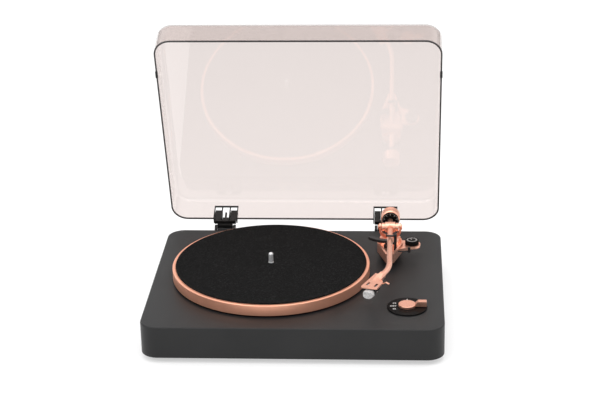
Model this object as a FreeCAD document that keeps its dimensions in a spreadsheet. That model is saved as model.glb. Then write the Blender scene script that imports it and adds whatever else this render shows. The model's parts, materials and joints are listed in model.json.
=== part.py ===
"""Turntable record player: plinth, belt-driven platter, bent tonearm and hinged dust cover.

Millimetres. +X is the player's right, +Y its rear, +Z up. The origin is the centre of the plinth's
footprint on the table. Everything is drawn with the dust cover open and the tonearm on its rest.
"""
import FreeCAD, Part
import math
import os
import re

import Sketcher

SIZES = {
    # plinth and the deck on its top
    "plinth_width": 439, "plinth_depth": 356, "deck_height": 56, "foot_height": 8,
    "plinth_corner": 26, "plinth_wall": 14, "plinth_roof": 9, "plinth_edge": 2,
    "cover_plate": 2, "foot_radius": 20, "foot_inset": 55,
    # platter and drive
    "platter_x": -41, "platter_y": 7, "platter_radius": 150, "platter_gap": 2.5, "platter_rim": 16.6,
    "mat_radius": 145, "mat_thick": 2, "spindle_radius": 3.6, "spindle_top": 93, "shaft_radius": 5,
    "spindle_seat": 4.2,
    "ring_radius": 62, "pulley_radius": 6, "motor_x": -108, "motor_y": 74, "motor_radius": 18,
    "belt_thick": 0.8, "running_gap": 0.05,
    # tonearm, measured from its pivot
    "pivot_x": 139.2, "pivot_y": 104.4, "pivot_z": 94, "tube_radius": 4.2, "tube_wall": 0.8,
    "tube_straight": 137, "bend_point": 156, "offset_angle": 24, "neck_start": 24, "neck_end": 28,
    "hub_radius": 8, "hub_width": 15.6, "yoke_outer": 17.2, "yoke_inner": 14, "yoke_depth": 7,
    "yoke_bottom": -17.7, "yoke_floor": -14, "yoke_corner": 13, "yoke_boss": 4.5,
    "collar_radius": 6.7,
    "weight_drop": 7, "weight_front": 46, "weight_length": 19, "weight_radius": 15,
    "dial_radius": 13.1, "stub_radius": 4, "sleeve_radius": 6.5,
    "head_half": 12.2, "plate_top": -0.6, "plate_thick": 2.2, "screw_spacing": 12.7, "screw_back": 60,
    # tonearm base, arm rest and cue lift, measured from the tonearm's pivot
    "base_bottom": 67, "base_rim": 82, "base_floor": 76.5, "journal_radius": 6,
    "lobe_x": 33.9, "lobe_y": -30.1, "lobe_radius": 13, "lobe_top": 79, "lobe_thick": 4,
    "skate_radius": 10.6, "skate_height": 7, "lift_radius": 40, "lift_width": 8, "lift_thick": 4.5,
    "lever_y": -56, "lever_z": 77.3,
    "rest_x": 8.2, "rest_y": -48, "post_side": 4.4,
    # speed selector
    "selector_x": 165.6, "selector_y": -104.3, "selector_radius": 29.5, "knob_radius": 12.7,
    "lever_width": 8.3,
    # dust cover, measured from its hinge line when shut
    "hinge_y": 193.6, "hinge_z": 49.5, "open_angle": 71.3, "cover_width": 434, "cover_depth": 356,
    "cover_height": 48, "cover_wall": 2.5, "cover_corner": 26, "cover_round": 8, "cover_rear": -15,
    "cover_rim": 8.5, "socket_width": 39, "socket_depth": 31, "socket_thick": 11,
    "left_hinge_x": -130.5, "right_hinge_x": 130.5, "pin_radius": 2, "ear_radius": 8.5,
    # rear panel
    "panel_width": 132, "panel_height": 26, "panel_z": 20,
}
NODES = {}

doc = FreeCAD.newDocument("RecordPlayer")
sheet = doc.addObject("Spreadsheet::Sheet", "Sizes")
for row, (alias, size) in enumerate(SIZES.items(), start=1):
    sheet.set("A%d" % row, alias)
    sheet.set("B%d" % row, str(size))
    sheet.setAlias("B%d" % row, alias)
doc.recompute()


def link(text):
    """Turn the sheet's names in an expression into references to its cells."""
    return re.sub(r"[a-z_]+", lambda m: "Sizes." + m.group() if m.group() in SIZES else m.group(), str(text))


def value(text):
    return float(sheet.evalExpression(link(text)))


def bind(thing, prop, text):
    thing.setExpression(prop, link(text))


def place(thing, x=0, y=0, z=0):
    for axis, text in zip("xyz", (x, y, z)):
        bind(thing, "Placement.Base." + axis, text)
    return thing


def turn(thing, axis, angle):
    """Turn a piece about an axis through its own origin, by an angle in degrees from the sheet."""
    thing.Placement.Rotation = FreeCAD.Rotation(FreeCAD.Vector(*axis), value(angle))
    bind(thing, "Placement.Rotation.Angle", "(%s) * 1 deg" % angle)
    return thing


def box(x, y, z, length, width, height):
    """A block from its low corner."""
    made = doc.addObject("Part::Box", "Block")
    for prop, text in zip(("Length", "Width", "Height"), (length, width, height)):
        bind(made, prop, text)
    return place(made, x, y, z)


def block(x, y, z, length, width, height):
    """A block centred on x and y, standing on z."""
    return box("%s - (%s) / 2" % (x, length), "%s - (%s) / 2" % (y, width), z, length, width, height)


DIRECTIONS = {"Z": ((0, 0, 1), 0), "X": ((0, 1, 0), 90), "Y": ((-1, 0, 0), 90)}


def rod(x, y, z, radius, height, along="Z"):
    """A cylinder that starts at a point and runs along +X, +Y or +Z."""
    made = doc.addObject("Part::Cylinder", "Rod")
    bind(made, "Radius", radius)
    bind(made, "Height", height)
    axis, angle = DIRECTIONS[along]
    made.Placement.Rotation = FreeCAD.Rotation(FreeCAD.Vector(*axis), angle)
    return place(made, x, y, z)


def cone(x, y, z, low, high, height, along="Z"):
    made = doc.addObject("Part::Cone", "Taper")
    for prop, text in zip(("Radius1", "Radius2", "Height"), (low, high, height)):
        bind(made, prop, text)
    axis, angle = DIRECTIONS[along]
    made.Placement.Rotation = FreeCAD.Rotation(FreeCAD.Vector(*axis), angle)
    return place(made, x, y, z)


def fuse(*shapes):
    if len(shapes) == 1:
        return shapes[0]
    made = doc.addObject("Part::MultiFuse", "Union")
    made.Shapes = list(shapes)
    return made


def cut(base, *tools):
    made = doc.addObject("Part::Cut", "Difference")
    made.Base = base
    made.Tool = fuse(*tools)
    return made


def group(*shapes):
    """Separate solids that share one node."""
    made = doc.addObject("Part::Compound", "Group")
    made.Links = list(shapes)
    return made


def node(name, thing):
    thing.Label = name
    NODES[name] = thing
    return thing


def origin_plane(body, role):
    return next(f for f in body.Origin.OriginFeatures if f.Role == role)


def sketch_on(body, plane, points):
    """A closed outline of straight lines, each corner held by two dimensions from the sheet."""
    sketch = body.newObject("Sketcher::SketchObject", "Outline")
    sketch.AttachmentSupport = [(origin_plane(body, plane), "")]
    sketch.MapMode = "FlatFace"
    spots = [FreeCAD.Vector(value(x), value(y), 0) for x, y in points]
    for i, spot in enumerate(spots):
        sketch.addGeometry(Part.LineSegment(spot, spots[(i + 1) % len(spots)]), False)
    for i in range(len(spots)):
        sketch.addConstraint(Sketcher.Constraint("Coincident", i, 2, (i + 1) % len(spots), 1))
    for i, (x, y) in enumerate(points):
        for kind, text, now in (("DistanceX", x, spots[i].x), ("DistanceY", y, spots[i].y)):
            index = sketch.addConstraint(Sketcher.Constraint(kind, -1, 1, i, 1, now))
            bind(sketch, "Constraints[%d]" % index, text)
    return sketch


def turned(points, x=0, y=0, z=0, along="Z"):
    """A solid of revolution about its own Z axis, from (radius, height) corners."""
    body = doc.addObject("PartDesign::Body", "Turned")
    sketch = sketch_on(body, "XZ_Plane", points)
    doc.recompute()
    spin = body.newObject("PartDesign::Revolution", "Revolution")
    spin.Profile = sketch
    spin.ReferenceAxis = (sketch, ["V_Axis"])
    spin.Angle = 360
    axis, angle = DIRECTIONS[along]
    body.Placement.Rotation = FreeCAD.Rotation(FreeCAD.Vector(*axis), angle)
    return place(body, x, y, z)


def padded(points, z, height, plane="XY_Plane", taper=None, both=False):
    """A straight-sided outline pushed up from z, or along Y about the middle for an upright outline."""
    body = doc.addObject("PartDesign::Body", "Padded")
    sketch = sketch_on(body, plane, points)
    doc.recompute()
    pad = body.newObject("PartDesign::Pad", "Pad")
    pad.Profile = sketch
    bind(pad, "Length", height)
    pad.Midplane = both
    if taper:
        pad.TaperAngle = taper
    return place(body, 0, 0, z)


def rounded_edges(body, wanted, radius):
    """Fillet the edges of a body's last feature that a test picks."""
    doc.recompute()
    tip = body.Tip
    names = ["Edge%d" % (i + 1) for i, edge in enumerate(tip.Shape.Edges) if wanted(edge)]
    fillet = body.newObject("PartDesign::Fillet", "Fillet")
    fillet.Base = (tip, names)
    bind(fillet, "Radius", radius)
    return body


def is_upright(edge):
    box_of = edge.BoundBox
    return box_of.ZLength > 1 and box_of.XLength < 0.01 and box_of.YLength < 0.01


def slab(x, y, z, length, width, height, corner, top_round=None):
    """A block with rounded upright corners and, if asked, a rounded top edge."""
    half_x, half_y = "(%s) / 2" % length, "(%s) / 2" % width
    corners = [("-" + half_x, "-" + half_y), (half_x, "-" + half_y), (half_x, half_y), ("-" + half_x, half_y)]
    body = padded(corners, 0, height)
    rounded_edges(body, is_upright, corner)
    if top_round:
        top = value(height)
        rounded_edges(body, lambda e: abs(e.BoundBox.ZMin - top) < 0.01, top_round)
    return place(body, x, y, z)


# ---------------------------------------------------------------- plinth, cover plate and feet
def build_plinth():
    outside = slab(0, 0, "foot_height", "plinth_width", "plinth_depth", "deck_height - foot_height",
                   "plinth_corner", "plinth_edge")
    inside = slab(0, 0, "foot_height - 1", "plinth_width - 2 * plinth_wall",
                  "plinth_depth - 2 * plinth_wall", "deck_height - foot_height - plinth_roof + 1",
                  "plinth_corner - plinth_wall")
    below = "deck_height - plinth_roof - 1"
    through = "plinth_roof + 2"
    holes = [
        rod("platter_x", "platter_y", below, 10, through),
        rod("motor_x", "motor_y", below, 9, through),
        rod("pivot_x", "pivot_y", below, 6, through),
        rod("selector_x", "selector_y", below, 4, through),
        block(0, "plinth_depth / 2 - plinth_wall / 2", "panel_z", "panel_width - 8", "plinth_wall + 4",
              "panel_height - 6"),
        block(0, "plinth_depth / 2 - 1", "panel_z - 3", "panel_width", 4, "panel_height"),
    ]
    corners = [(sx, sy) for sx in (-1, 1) for sy in (-1, 1)]
    screw_x = "(plinth_width / 2 - 2 * plinth_wall)"
    screw_y = "(plinth_depth / 2 - 2 * plinth_wall)"
    bosses = [rod("%d * %s" % (sx, screw_x), "%d * %s" % (sy, screw_y), "foot_height + cover_plate", 4,
                  "deck_height - plinth_roof - foot_height - cover_plate + 1") for sx, sy in corners]
    holes += [rod("%d * %s" % (sx, screw_x), "%d * %s" % (sy, screw_y), "foot_height", 1.6, 12.5)
              for sx, sy in corners]
    node("plinth", cut(fuse(cut(outside, inside), *bosses), *holes))

    plate = slab(0, 0, "foot_height", "plinth_width - 2 * plinth_wall - 0.6",
                 "plinth_depth - 2 * plinth_wall - 0.6", "cover_plate", "plinth_corner - plinth_wall - 0.3")
    foot_x = "(plinth_width / 2 - foot_inset)"
    foot_y = "(plinth_depth / 2 - foot_inset)"
    holes = [rod("%d * %s" % (sx, screw_x), "%d * %s" % (sy, screw_y), "foot_height - 1", 1.7, 4)
             for sx, sy in corners]
    standoffs = [rod("120 + %d" % (30 * sx), "-20 + %d" % (20 * sy), "foot_height + cover_plate - 1", 3, 9)
                 for sx, sy in corners]
    node("bottom_cover", fuse(cut(plate, *holes), *standoffs))
    posts = [rod("%d * %s" % (sx, screw_x), "%d * %s" % (sy, screw_y), "foot_height - 1.2", 3.2, 1.2)
             for sx, sy in corners]
    shanks = [rod("%d * %s" % (sx, screw_x), "%d * %s" % (sy, screw_y), "foot_height", 1.6, 12)
              for sx, sy in corners]
    node("bottom_cover_screws", group(*[fuse(p, s) for p, s in zip(posts, shanks)]))
    profile = [(0, 0), ("foot_radius - 3", 0), ("foot_radius - 2", 1), ("foot_radius", "foot_height"),
               (0, "foot_height")]
    node("feet", group(*[turned(profile, "%d * %s" % (sx, foot_x), "%d * %s" % (sy, foot_y))
                         for sx, sy in corners]))


# ---------------------------------------------------------------- platter, bearing and belt drive
RIM_LOW = "(deck_height + platter_gap)"
RIM_TOP = "(deck_height + platter_gap + platter_rim)"


def build_platter():
    profile = [
        ("spindle_seat + running_gap", "platter_rim"), ("spindle_seat + running_gap", 3),
        (18, 3), (18, "platter_rim - 5"), ("platter_radius - 10", "platter_rim - 5"),
        ("platter_radius - 10", 0), ("platter_radius - 1", 0), ("platter_radius", 1),
        ("platter_radius", "platter_rim - 1"), ("platter_radius - 1", "platter_rim"),
    ]
    node("platter", turned(profile, "platter_x", "platter_y", RIM_LOW))
    mat = [("spindle_seat + 0.2", 0), ("mat_radius", 0), ("mat_radius", "mat_thick"),
           ("spindle_seat + 0.2", "mat_thick")]
    node("slipmat", turned(mat, "platter_x", "platter_y", RIM_TOP))
    ring_top = "platter_rim - 5"
    ring = [("ring_radius - 4", 0.5), ("ring_radius", 0.5), ("ring_radius", ring_top),
            ("ring_radius - 4", ring_top)]
    node("belt_ring", turned(ring, "platter_x", "platter_y", RIM_LOW))

    shaft = [(0, 20), ("shaft_radius - 1", 20), ("shaft_radius", 21), ("shaft_radius", 59),
             (12, 59), (12, "deck_height + platter_gap + 3"),
             ("spindle_seat", "deck_height + platter_gap + 3"),
             ("spindle_seat", RIM_TOP + " + mat_thick"), ("spindle_radius", RIM_TOP + " + mat_thick"),
             ("spindle_radius", "spindle_top - 2.5"), ("spindle_radius - 1.2", "spindle_top - 0.6"),
             (0, "spindle_top")]
    node("platter_shaft", turned(shaft, "platter_x", "platter_y"))
    housing = [("shaft_radius + running_gap", 20), ("shaft_radius + running_gap", 58.5), (14, 58.5),
               (14, "deck_height"), (9, "deck_height"), (9, 14), (0, 14), (0, 16.6), (3, 16.6), (3, 20)]
    screws_at = [("platter_x + %d" % (14 * sx), "platter_y + %d" % (14 * sy))
                 for sx, sy in [(-1, 0), (1, 0), (0, 1), (0, -1)]]
    node("bearing_housing", turned(housing, "platter_x", "platter_y"))
    ball = doc.addObject("Part::Sphere", "Ball")
    bind(ball, "Radius", 1.65)
    node("thrust_ball", place(ball, "platter_x", "platter_y", 18.3))

    flange = cut(rod("platter_x", "platter_y", "deck_height - plinth_roof - 3", 20, 3),
                 rod("platter_x", "platter_y", "deck_height - plinth_roof - 4", 9.05, 5))
    node("bearing_clamp", cut(flange, *[
        rod(x, y, "deck_height - plinth_roof - 4", 1.6, 5) for x, y in screws_at]))
    node("bearing_screws", group(*[
        rod(x, y, "deck_height - plinth_roof - 5", 1.55, 5) for x, y in screws_at]))


def build_motor():
    top = "deck_height - plinth_roof"
    can = rod("motor_x", "motor_y", 16, "motor_radius", 29)
    node("motor", cut(can, rod("motor_x", "motor_y", 30, 1.6, 20)))
    lugs = [(-1, -1), (1, 1)]
    plate = block("motor_x", "motor_y", top + " - 2", 54, 40, 2)
    screws_at = [("motor_x + %d" % (22 * sx), "motor_y + %d" % (14 * sy)) for sx, sy in lugs]
    node("motor_bracket", cut(plate, rod("motor_x", "motor_y", top + " - 3", 9, 4),
                              *[rod(x, y, top + " - 3", 1.6, 4) for x, y in screws_at]))
    node("motor_screws", group(*[fuse(rod(x, y, top + " - 4", 2.8, 2), rod(x, y, top + " - 2", 1.55, 2))
                                 for x, y in screws_at]))
    pulley = [(0, 31), (1.5, 31), (1.5, 58.8), ("pulley_radius + 1", 58.8), ("pulley_radius + 1", 59.8),
              ("pulley_radius", 59.8), ("pulley_radius", 68), ("pulley_radius + 1", 68),
              ("pulley_radius + 1", 69), (0, 69)]
    node("motor_pulley", turned(pulley, "motor_x", "motor_y"))


def build_belt():
    """A flat loop round the belt ring and the pulley: two arcs and their two outer tangents."""
    ring = FreeCAD.Vector(value("platter_x"), value("platter_y"), 61)
    pulley = FreeCAD.Vector(value("motor_x"), value("motor_y"), 61)
    span = pulley - ring
    heading = math.atan2(span.y, span.x)

    def loop(grow):
        large, small = value("ring_radius") + grow, value("pulley_radius") + grow
        lean = math.acos((large - small) / span.Length)

        def on(centre, radius, angle):
            return centre + FreeCAD.Vector(radius * math.cos(angle), radius * math.sin(angle), 0)
        left, right = heading + lean, heading - lean
        far_ring, far_pulley = heading + math.pi, heading
        edges = [
            Part.Arc(on(ring, large, left), on(ring, large, far_ring), on(ring, large, right)).toShape(),
            Part.makeLine(on(ring, large, right), on(pulley, small, right)),
            Part.Arc(on(pulley, small, right), on(pulley, small, far_pulley),
                      on(pulley, small, left)).toShape(),
            Part.makeLine(on(pulley, small, left), on(ring, large, left)),
        ]
        return Part.Face(Part.Wire(edges)).extrude(FreeCAD.Vector(0, 0, 6))

    belt = doc.addObject("Part::Feature", "Belt")
    clear = value("running_gap")
    belt.Shape = loop(clear + value("belt_thick")).cut(loop(clear))
    node("drive_belt", belt)


# ---------------------------------------------------------------- electronics and rear panel
def build_electronics():
    floor = "foot_height + cover_plate"
    board = [block(120, -20, floor + " + 8", 72, 52, 1.6), block(104, -24, floor + " + 9.6", 14, 14, 2),
             block(134, -10, floor + " + 9.6", 10, 18, 9), rod(120, -34, floor + " + 9.6", 5, 11)]
    node("control_board", fuse(*board))
    node("selector_switch", cut(
        block("selector_x", "selector_y", "deck_height - plinth_roof - 14", 26, 22, 14),
        rod("selector_x", "selector_y", "deck_height - plinth_roof - 8", "3 + running_gap", 9)))

    face = "(plinth_depth / 2 - 3)"
    mid = "(panel_z - 3 + panel_height / 2)"
    panel = block(0, "plinth_depth / 2 - 2", "panel_z - 3 + 0.2", "panel_width - 0.4", 2,
                  "panel_height - 0.4")
    holes = [rod(x, face, mid, r, 4, "Y") for x, r in ((-44, 4.3), (-24, 4.3), (50, 4.8), (-4, 2.05))]
    node("rear_panel", cut(panel, *holes, block(22, "plinth_depth / 2 - 2", mid + " - 2.2", 12.4, 6, 4.4)))
    jack = [(1.7, 0), (4.2, 0), (4.2, 4), (6, 4), (6, 5), (4.1, 5), (4.1, 14), (3.2, 14), (3.2, 6), (1.7, 6)]
    node("phono_jacks", group(*[turned(jack, x, face + " - 2", mid, "Y") for x in (-44, -24)]))
    inlet = [(0, -8), (6.5, -8), (6.5, 0), (4.7, 0), (4.7, 5), (2.8, 5), (2.8, -5), (1, -5), (1, 3), (0, 3)]
    node("dc_inlet", turned(inlet, 50, face, mid, "Y"))
    post = [(0, -6), (4, -6), (4, 0), (2, 0), (2, 12), (0, 12)]
    node("ground_post", turned(post, -4, face, mid, "Y"))
    nut = [(2.05, 0), (5, 0), (5.5, 0.6), (5.5, 5.4), (5, 6), (2.05, 6)]
    node("ground_nut", turned(nut, -4, face + " + 2.4", mid, "Y"))
    body = cut(block(22, face + " - 3", mid + " - 4", 18, 6, 8),
               block(22, face + " - 1.4", mid + " - 2", 12, 3.2, 4))
    node("line_switch_body", body)
    node("line_switch_slider", block(19, face + " + 0.6", mid + " - 1.9", 4, 6, 3.8))


# ---------------------------------------------------------------- speed selector
def build_selector():
    plate = [("3 + running_gap", 0), ("selector_radius", 0), ("selector_radius", 1.6),
             ("selector_radius - 0.5", 2), ("3 + running_gap", 2)]
    node("selector_plate", turned(plate, "selector_x", "selector_y", "deck_height"))
    knob = [(0, -14), (3, -14), (3, 2.4), ("knob_radius", 2.4), ("knob_radius", 5.6),
            ("knob_radius - 0.6", 6.2), (0, 6.2)]
    disc = turned(knob, "selector_x", "selector_y", "deck_height")
    grip = padded([(8, 3), (28.4, 3), (28.4, 9.9), (27.6, 10.7), (16, 10.7),
                   ("knob_radius - 1.2", 6.2), (8, 6.2)],
                  0, "lever_width", "XZ_Plane", both=True)
    node("selector_knob", fuse(disc, place(grip, "selector_x", "selector_y", "deck_height")))


# ---------------------------------------------------------------- tonearm base
def at_pivot(thing, z=0):
    return place(thing, "pivot_x", "pivot_y", z)


def from_pivot(dx, dy):
    return "pivot_x + (%s)" % dx, "pivot_y + (%s)" % dy


def build_arm_base():
    half = [(6, -77.2), (19.7, -34), (19.7, -28), (16, -10), (16, 6), (9, 14.5)]
    outline = half + [(-x, y) for x, y in reversed(half)]
    hull = at_pivot(padded(outline, 0, "base_rim - base_bottom"), "base_bottom")
    well = [(2.6, -67), (14.2, -33.5), (14.2, -28), (12, -20.5)]
    well = well + [(-x, y) for x, y in reversed(well)]
    recess = at_pivot(padded(well, 0, "base_rim - base_floor + 0.5", taper=28), "base_floor")
    rear_step = box(*from_pivot(-25, -15), "base_floor - 0.7", 50, 40, 20)
    lobe_plate = [(12, -17.2), ("lobe_x", "lobe_y + lobe_radius"), ("lobe_x", "lobe_y"), (41.2, -40.9),
                  (16, -51), (10, -51)]
    tongue = at_pivot(padded(lobe_plate, 0, "lobe_thick"), "lobe_top - lobe_thick")
    lobe = rod(*from_pivot("lobe_x", "lobe_y"), "lobe_top - lobe_thick", "lobe_radius", "lobe_thick")
    holes = [
        rod(*from_pivot(0, 0), "base_bottom - 1", "journal_radius + running_gap", 20),
        rod(*from_pivot("lobe_x", "lobe_y"), "lobe_top - lobe_thick - 1", "2 + running_gap", 8),
        rod(*from_pivot(5, "lever_y"), "lever_z", "1 + running_gap", 14, "X"),
        block(*from_pivot("rest_x", "rest_y"), "base_floor", "post_side", "post_side", 10),
    ]
    node("tonearm_base", cut(fuse(hull, tongue, lobe), recess, rear_step, *holes))
    pedestal = [("journal_radius + running_gap", 0), (17, 0), (17, 2), (15, 3),
                (15, "base_bottom - deck_height"),
                ("journal_radius + running_gap", "base_bottom - deck_height")]
    node("tonearm_pedestal", at_pivot(turned(pedestal), "deck_height"))

    dial = [(0, -5), (2, -5), (2, 0.3), ("skate_radius", 0.3), ("skate_radius", "skate_height - 0.6"),
            ("skate_radius - 0.6", "skate_height"), (0, "skate_height")]
    node("anti_skate_dial", place(turned(dial), *from_pivot("lobe_x", "lobe_y"), "lobe_top"))
    axle = rod(*from_pivot(6, "lever_y"), "lever_z", 1, 23, "X")
    tab = block(*from_pivot(29.5, "lever_y"), "lever_z - 1.4", 4, 2.8, 8)
    node("cue_lever", fuse(axle, tab))


def build_rest_and_lift():
    post = block(*from_pivot("rest_x", "rest_y"), "base_floor", "post_side", "post_side",
                 "pivot_z + 4.9 - base_floor")
    shelf = box(*from_pivot("rest_x - 14", "rest_y - 2"), "pivot_z - tube_radius - 3.6", 14, 4, 2.4)
    lip = box(*from_pivot("rest_x - 14", "rest_y - 2"), "pivot_z - tube_radius - 1.4", 1.4, 4, 1)
    stem = rod(*from_pivot("rest_x", "rest_y"), "pivot_z + 4.4", 1.2, 2.4)
    node("arm_rest", fuse(post, shelf, lip, stem))
    band = box(*from_pivot("rest_x - 14", "rest_y - 3.5"), "pivot_z + 5.5", 14, 4.5, 1.6)
    thumb = box(*from_pivot("rest_x - 14", "rest_y - 3.5"), "pivot_z + 5.5", 1.5, 4.5, 3)
    collar = rod(*from_pivot("rest_x", "rest_y"), "pivot_z + 5.3", 2.6, 3.2)
    bore = rod(*from_pivot("rest_x", "rest_y"), "pivot_z + 4.4", "1.2 + running_gap", 2.45)
    node("rest_clip", cut(fuse(band, thumb, collar), bore))

    lift_at = from_pivot(-5.6, "-lift_radius + 0.3")
    node("lift_cylinder", cut(rod(*lift_at, "base_floor", 4, 5),
                              rod(*lift_at, "base_floor + 1", "1.8 + running_gap", 8)))
    bar_top = "pivot_z - tube_radius - 0.4"
    sector = rod(*from_pivot(0, 0), bar_top + " - lift_thick", "lift_radius + lift_width / 2", "lift_thick")
    sector.Angle = 55
    turn(sector, (0, 0, 1), 220)
    inner = rod(*from_pivot(0, 0), bar_top + " - lift_thick - 1", "lift_radius - lift_width / 2",
                "lift_thick + 2")
    piston = rod(*lift_at, "base_floor + 1.5", 1.8, bar_top + " - 2 - base_floor - 1.5")
    node("cue_lift_arm", fuse(cut(sector, inner), piston))


# ---------------------------------------------------------------- tonearm
def build_yoke():
    back = "-yoke_depth / 2"
    hoop = []
    for half, bottom, corner in (("yoke_outer", "yoke_bottom", "yoke_corner"),
                                 ("yoke_inner", "yoke_floor", "yoke_corner - 3")):
        corners = [rod(side + "(" + half + " - (" + corner + "))", back, bottom + " + " + corner, corner,
                       "yoke_depth", "Y") for side in ("-", "")]
        wide = box("-" + half, back, bottom + " + " + corner, "2 * " + half, "yoke_depth",
                   "-(" + bottom + ") - (" + corner + ")")
        low = box("-" + half + " + " + corner, back, bottom, "2 * (" + half + " - (" + corner + "))",
                  "yoke_depth", "-(" + bottom + ")")
        hoop.append(fuse(wide, low, *corners))
    ring = cut(*hoop, block(0, 0, 0, 40, 20, 20))
    arms = [box("%s" % x, back, -0.01, "yoke_outer - yoke_inner", "yoke_depth", 2.5)
            for x in ("yoke_inner", "-yoke_outer")]
    tops = [rod(x, 0, 1.6, "yoke_boss", "yoke_outer - yoke_inner", "X")
            for x in ("yoke_inner", "-yoke_outer")]
    journal = rod(0, 0, "60 - pivot_z", "journal_radius", "pivot_z - 60 + yoke_floor - 0.5")
    bores = [rod(-20, 0, 0, 3, 40, "X")]
    node("arm_yoke", at_pivot(cut(fuse(ring, *arms, *tops, journal), *bores), "pivot_z"))
    screw = [(0, 0), (4.2, 0), (4.2, 0.8), (3.6, 1.6), (0, 1.6)]
    right = fuse(turned(screw, "yoke_outer", 0, 0, "X"),
                 rod("yoke_inner - 0.6", 0, 0, 3, "yoke_outer - yoke_inner + 0.6", "X"),
                 rod("yoke_inner - 4.2", 0, 0, 1.5, 4.2, "X"))
    left = fuse(turned(screw, "-yoke_outer - 1.6", 0, 0, "X"),
                rod("-yoke_outer", 0, 0, 3, "yoke_outer - yoke_inner + 0.6", "X"),
                rod("-yoke_inner", 0, 0, 1.5, 4.2, "X"))
    node("pivot_screws", at_pivot(group(left, right), "pivot_z"))


def build_arm():
    half = [("collar_radius", "yoke_inner - 0.9"), ("collar_radius", "hub_width / 2 + 1"),
            (5.4, "hub_width / 2 + 1"), (5.4, "hub_width / 2"), ("hub_radius", "hub_width / 2")]
    mirrored = [(radius, "-(%s)" % along) for radius, along in reversed(half)]
    barrel = turned([(0, "yoke_inner - 0.9")] + half + mirrored + [(0, "0.9 - yoke_inner")], along="X")
    seat = rod(0, "-hub_radius - 2.5", 0, "tube_radius + 1.4", 5, "Y")
    bearings = [rod(x, 0, 0, "1.5 + running_gap", 5, "X") for x in ("-yoke_inner", "yoke_inner - 5")]
    tube_seat = rod(0, "-hub_radius - 3", 0, "tube_radius", 8, "Y")
    stub_seat = box(-5.5, "hub_radius - 3", "-weight_drop - 5", 11, 6, 10)
    node("bearing_hub", at_pivot(cut(fuse(barrel, seat), *bearings, tube_seat, stub_seat),
                                 "pivot_z"))

    bracket = box(-5.5, "hub_radius - 3", "-weight_drop - 5", 11, 7, 10)
    stub = rod(0, "hub_radius + 3", "-weight_drop", "stub_radius", "weight_front + 12 - hub_radius - 3", "Y")
    flange = cone(0, "hub_radius + 4", "-weight_drop", 5.5, "stub_radius + 0.6", 22, "Y")
    node("rear_stub", at_pivot(fuse(bracket, flange, stub), "pivot_z"))

    body = doc.addObject("PartDesign::Body", "Tube")
    spine = body.newObject("Sketcher::SketchObject", "Spine")
    spine.AttachmentSupport = [(origin_plane(body, "XY_Plane"), "")]
    spine.MapMode = "FlatFace"
    start = FreeCAD.Vector(0, value("-hub_radius + 3"), 0)
    bend_start = FreeCAD.Vector(0, value("-tube_straight"), 0)
    lean = math.radians(value("offset_angle"))
    vertex = FreeCAD.Vector(0, value("-bend_point"), 0)
    forward = FreeCAD.Vector(-math.sin(lean), -math.cos(lean), 0)
    reach = value("bend_point - tube_straight")
    bend_end = vertex + forward * reach
    bow = reach / math.tan(lean / 2)
    centre = bend_start + FreeCAD.Vector(-bow, 0, 0)
    middle = centre + FreeCAD.Vector(math.cos(lean / 2), -math.sin(lean / 2), 0) * bow
    spine.addGeometry(Part.LineSegment(start, bend_start), False)
    spine.addGeometry(Part.Arc(bend_start, middle, bend_end), False)
    spine.addGeometry(Part.LineSegment(bend_end, vertex + forward * value("neck_end")), False)
    section = body.newObject("Sketcher::SketchObject", "Section")
    section.AttachmentSupport = [(origin_plane(body, "XZ_Plane"), "")]
    section.MapMode = "FlatFace"
    bind(section, "AttachmentOffset.Base.z", "hub_radius - 3")
    for i, radius in enumerate(("tube_radius", "tube_radius - tube_wall")):
        section.addGeometry(Part.Circle(FreeCAD.Vector(0, 0, 0), FreeCAD.Vector(0, 0, 1), value(radius)),
                            False)
        section.addConstraint(Sketcher.Constraint("Coincident", i, 3, -1, 1))
        index = section.addConstraint(Sketcher.Constraint("Radius", i, value(radius)))
        bind(section, "Constraints[%d]" % index, radius)
    doc.recompute()
    pipe = body.newObject("PartDesign::AdditivePipe", "Pipe")
    pipe.Profile = section
    pipe.Spine = (spine, ["Edge1", "Edge2", "Edge3"])
    node("arm_tube", at_pivot(body, "pivot_z"))


def at_head(thing):
    """Move a headshell piece, drawn pointing along -Y from the bend, to its offset angle on the arm."""
    place(thing, "pivot_x", "pivot_y - bend_point", "pivot_z")
    return turn(thing, (0, 0, -1), "offset_angle")


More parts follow.
